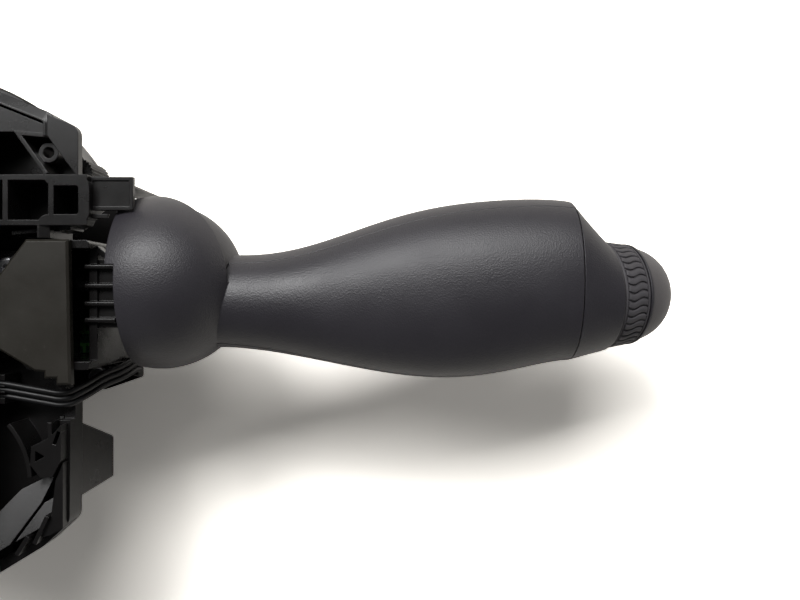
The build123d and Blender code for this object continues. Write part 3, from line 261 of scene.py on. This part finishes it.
# %% Mix the stalk plastic
EDGE_SAMPLES = 8
STALK_EDGE_MM = 0.35
STALK_ROUGHNESS = (0.42, 0.50)
GRAIN_DEPTH_MM, GRAIN_STRENGTH = 0.06, 0.9


def stalk_plastic(name, colour, pit_mm=0.34):
    material, start = begin(name)
    edge = start.node("Bevel", {"samples": EDGE_SAMPLES}, {"Radius": STALK_EDGE_MM * MM})
    pits = cells(start, pit_mm)
    cloud = noise(start, 14.0, detail=4.0)
    fine = noise(start, 0.5, detail=3.0)
    worn = between(cloud, 0.35, 0.7)
    shade = mix(worn * 0.5 + fine * 0.3, colour, scaled(colour, 1.3))
    roughness = between(cloud, 0.3, 0.7, *STALK_ROUGHNESS)
    height = pits * 0.7 + fine * 0.5
    grain = bump(height, GRAIN_DEPTH_MM, GRAIN_STRENGTH, under=edge)
    close(start, shade, roughness, Normal=grain, Specular_IOR_Level=0.6)
    return material


finishes = {"stalk_plastic": stalk_plastic("stalk_plastic", tint(36, 34, 39))}
finishes["cap_plastic"] = stalk_plastic("cap_plastic", tint(72, 69, 70), pit_mm=0.22)

# %% [markdown]
# ## Black housing plastic
# Glass-filled nylon is nearly black, with a satin skin, faint flow marks and a little dust
# in its corners. Its edges are slightly rounded, and that is where it shines. The Bevel
# node rounds the shading of each edge, which costs nothing in geometry.

# %% Mix the housing plastics
HOUSING_EDGE_MM = 0.22
DUST_COLOUR = tint(120, 116, 108)
DUST_SHARE = 0.05


def housing_plastic(name, colour, gloss):
    material, start = begin(name)
    edge = start.node("Bevel", {"samples": EDGE_SAMPLES}, {"Radius": HOUSING_EDGE_MM * MM})
    flow = noise(start, 9.0, detail=5.0, roughness=0.6)
    fibre = noise(start, 0.6, detail=2.0)
    dust = between(noise(start, 1.4, detail=6.0, roughness=0.7), 0.62, 0.75)
    shade = mix(flow, colour, scaled(colour, 1.5))
    dusty = mix(dust * DUST_SHARE, shade, DUST_COLOUR)
    roughness = between(flow, 0.3, 0.7, gloss, gloss + 0.1) + dust * 0.15
    skin = bump(fibre, 0.02, 0.4, under=edge)
    close(start, dusty, roughness, Normal=skin, Specular_IOR_Level=0.32)
    return material


finishes["black_plastic"] = housing_plastic("black_plastic", tint(15, 14, 14), 0.25)
finishes["switch_plastic"] = housing_plastic("switch_plastic", tint(13, 12, 12), 0.22)
finishes["panel_plastic"] = housing_plastic("panel_plastic", tint(32, 30, 26), 0.34)
finishes["core_plastic"] = housing_plastic("core_plastic", tint(30, 30, 31), 0.35)

# %% Mix the rubber
def rubber(name, colour, roughness=0.62, shine=0.5):
    material, start = begin(name)
    cloud = noise(start, 3.0, detail=4.0)
    fine = noise(start, 0.25, detail=2.0)
    shade = mix(cloud, colour, scaled(colour, 1.4))
    rough = between(cloud, 0.3, 0.7, roughness, roughness + 0.1)
    close(start, shade, rough, Normal=bump(fine, 0.02, 0.5), Specular_IOR_Level=shine)
    return material


finishes["grip_rubber"] = rubber("grip_rubber", tint(59, 57, 60))
finishes["wire_insulation"] = rubber("wire_insulation", tint(12, 12, 13), 0.36, 0.3)

# %% Mix the metals
STREAK_MM = 0.15
STREAK_STRETCH = (1, 1, 0.08)


def drawn_metal(name, colour, roughness):
    material, start = begin(name)
    spot = start.node("Mapping", None, {"Vector": place(start), "Scale": STREAK_STRETCH})
    inputs = {"Vector": spot, "Scale": 1 / (STREAK_MM * MM), "Detail": 2.0}
    streak = start.node("TexNoise", None, inputs)
    stain = noise(start, 2.5, detail=4.0)
    shade = mix(stain * 0.5, colour, scaled(colour, 0.6))
    rough = between(streak, 0.3, 0.7, roughness, roughness + 0.15)
    close(start, shade, rough, Metallic=1.0, Normal=bump(streak, 0.01, 0.3))
    return material


finishes["steel"] = drawn_metal("steel", tint(178, 178, 180), 0.28)
finishes["contact_metal"] = drawn_metal("contact_metal", tint(205, 188, 140), 0.25)

# %% Mix the circuit board and the ribbon
TRACK_MM = 14
TRACK_COLOUR = tint(70, 120, 60)


def lacquered_board(name, colour):
    material, start = begin(name)
    tracks = start.node("TexBrick", {"offset": 0.5}, {
        "Vector": place(start), "Scale": 1 / (TRACK_MM * MM), "Mortar Size": 0.03,
        "Brick Width": 0.5, "Row Height": 0.22,
    }, output="Fac")
    copper = mix(tracks * 0.6, colour, TRACK_COLOUR)
    rough = between(noise(start, 4.0), 0.3, 0.7, 0.25, 0.35)
    close(start, copper, rough, Normal=bump(tracks, 0.03, 0.6))
    return material


finishes["board"] = lacquered_board("board", tint(16, 44, 27))
finishes["cable_film"] = lacquered_board("cable_film", tint(150, 86, 30))

# %% [markdown]
# ## Give each node its finish
# The record says which slot every node takes its colour from, so one loop dresses them all.

# %% Dress the nodes
slots = {row["node"]: row["material_slot"] for row in frame["record"]["subparts"]}
for node, thing in frame["nodes"].items():
    thing.data.materials.clear()
    thing.data.materials.append(finishes[slots[node]])
print("dressed", len(slots), "nodes in", len(finishes), "finishes")

# %% [markdown]
# ## The turning band's tread
# A finger turns the band, so its rubber carries wavy ribs that lie along the lever. The
# mechanical model has only the smooth ring. One rib is drawn out of a small rectangle, step
# by step along a wave, its outer edges are rounded, and copies of it stand round a ring
# that grows out of a circle. The whole band then takes the place of the smooth ring.

# %% Place the knob
KNOB_START = Vector((179.9, -3.0, 44.6)) * MM
KNOB_PITCH = math.radians(15.0)
KNOB_YAW = math.radians(2.0)
knob_axis = Vector((
    math.cos(KNOB_PITCH) * math.cos(KNOB_YAW),
    math.cos(KNOB_PITCH) * math.sin(KNOB_YAW),
    -math.sin(KNOB_PITCH),
))


def lay_on_knob(piece):
    """Moves a piece that was made about the vertical axis onto the knob's axis."""
    piece.location = KNOB_START
    piece.rotation_mode = "QUATERNION"
    piece.rotation_quaternion = knob_axis.to_track_quat("Z", "Y")
    bpy.ops.object.select_all(action="DESELECT")
    piece.select_set(True)
    bpy.context.view_layer.objects.active = piece
    bpy.ops.object.transform_apply(location=True, rotation=True, scale=True)
    piece.rotation_mode = "XYZ"


print("knob axis", tuple(round(part, 3) for part in knob_axis))

# %% Grow the ring under the tread
RING_SIDES = 172
WELD_GAP = 0.001
RING_PROFILE = [             # (radius, height) in mm
    (12.15, 0.6), (12.95, 0.6), (13.05, 0.75), (13.05, 1.1), (12.60, 1.3),
    (11.95, 6.9), (12.30, 7.0), (12.30, 7.3), (12.20, 7.4), (11.45, 7.4), (12.15, 0.6),
]


def grow_ring(name, sides, profile):
    """A closed ring about the vertical axis, pulled from a circle along (radius, height)."""
    (radius, height), rest = profile[0], profile[1:]
    bpy.ops.object.select_all(action="DESELECT")
    bpy.ops.mesh.primitive_circle_add(
        vertices=sides, radius=radius * MM, location=(0, 0, height * MM))
    ring = bpy.context.object
    ring.name = name
    bpy.ops.object.transform_apply(location=True)
    bpy.ops.object.mode_set(mode="EDIT")
    bpy.ops.mesh.select_all(action="SELECT")
    for new_radius, new_height in rest:
        rise = (0, 0, (new_height - height) * MM)
        bpy.ops.mesh.extrude_region_move(TRANSFORM_OT_translate={"value": rise})
        grow = new_radius / radius
        bpy.ops.transform.resize(value=(grow, grow, 1), center_override=(0, 0, 0))
        radius, height = new_radius, new_height
    bpy.ops.mesh.select_all(action="SELECT")
    bpy.ops.mesh.remove_doubles(threshold=WELD_GAP * MM)
    bpy.ops.mesh.normals_make_consistent(inside=False)
    bpy.ops.object.mode_set(mode="OBJECT")
    return ring


ring = grow_ring("tread_ring", RING_SIDES, RING_PROFILE)
print("ring has", len(ring.data.polygons), "faces")

# %% Draw one rib along its wave
RIB_COUNT = 43
RIB_STEPS = 10
RIB_WIDTH = 1.42
RIB_HEIGHT = 0.62
RIB_WAVE = 0.42
RIB_START = (12.78, 1.45)    # (radius, height)
RIB_END = (12.10, 6.85)
OUTER_NORMAL = 0.7           # a face that looks outward more than this is an outer one
ROUNDING, ROUNDING_STEPS = 0.32, 2


def rib_place(step):
    """Middle of the rib's section at one step."""
    share = step / RIB_STEPS
    radius, height = (a + (b - a) * share for a, b in zip(RIB_START, RIB_END))
    return Vector((radius, RIB_WAVE * math.sin(2 * math.pi * share), height)) * MM


bpy.ops.object.select_all(action="DESELECT")
bpy.ops.mesh.primitive_plane_add(size=1, location=rib_place(0))
rib = bpy.context.object
rib.scale = (RIB_HEIGHT * MM, RIB_WIDTH * MM, 1)
bpy.ops.object.transform_apply(location=True, scale=True)
bpy.ops.object.mode_set(mode="EDIT")
bpy.ops.mesh.select_all(action="SELECT")
for step in range(RIB_STEPS):
    stride = rib_place(step + 1) - rib_place(step)
    bpy.ops.mesh.extrude_region_move(TRANSFORM_OT_translate={"value": stride})
bpy.ops.mesh.select_all(action="SELECT")
bpy.ops.mesh.normals_make_consistent(inside=False)
bpy.ops.mesh.select_all(action="DESELECT")
bpy.ops.object.mode_set(mode="OBJECT")
for face in rib.data.polygons:
    face.select = face.normal.x > OUTER_NORMAL
bpy.ops.object.mode_set(mode="EDIT")
bpy.ops.mesh.select_mode(type="FACE")
bpy.ops.mesh.region_to_loop()
bpy.ops.mesh.bevel(offset=ROUNDING * MM, segments=ROUNDING_STEPS)
bpy.ops.object.mode_set(mode="OBJECT")
print("rib has", len(rib.data.polygons), "faces")

# %% Copy the rib round the ring
SMOOTH_ANGLE = math.radians(38)
for number in range(1, RIB_COUNT):
    twin = rib.copy()
    twin.data = rib.data.copy()
    twin.rotation_euler.z = 2 * math.pi * number / RIB_COUNT
    bpy.context.scene.collection.objects.link(twin)
    twin.select_set(True)
rib.select_set(True)
ring.select_set(True)
bpy.context.view_layer.objects.active = ring
bpy.ops.object.join()
tread_band = bpy.context.object
tread_band.name = "tread_band"
lay_on_knob(tread_band)
bpy.ops.object.shade_smooth_by_angle(angle=SMOOTH_ANGLE)
tread_band.data.materials.append(finishes["grip_rubber"])
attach(tread_band, "rotary_band")
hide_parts("grip_ring")
print("tread band has", len(tread_band.data.polygons), "faces")
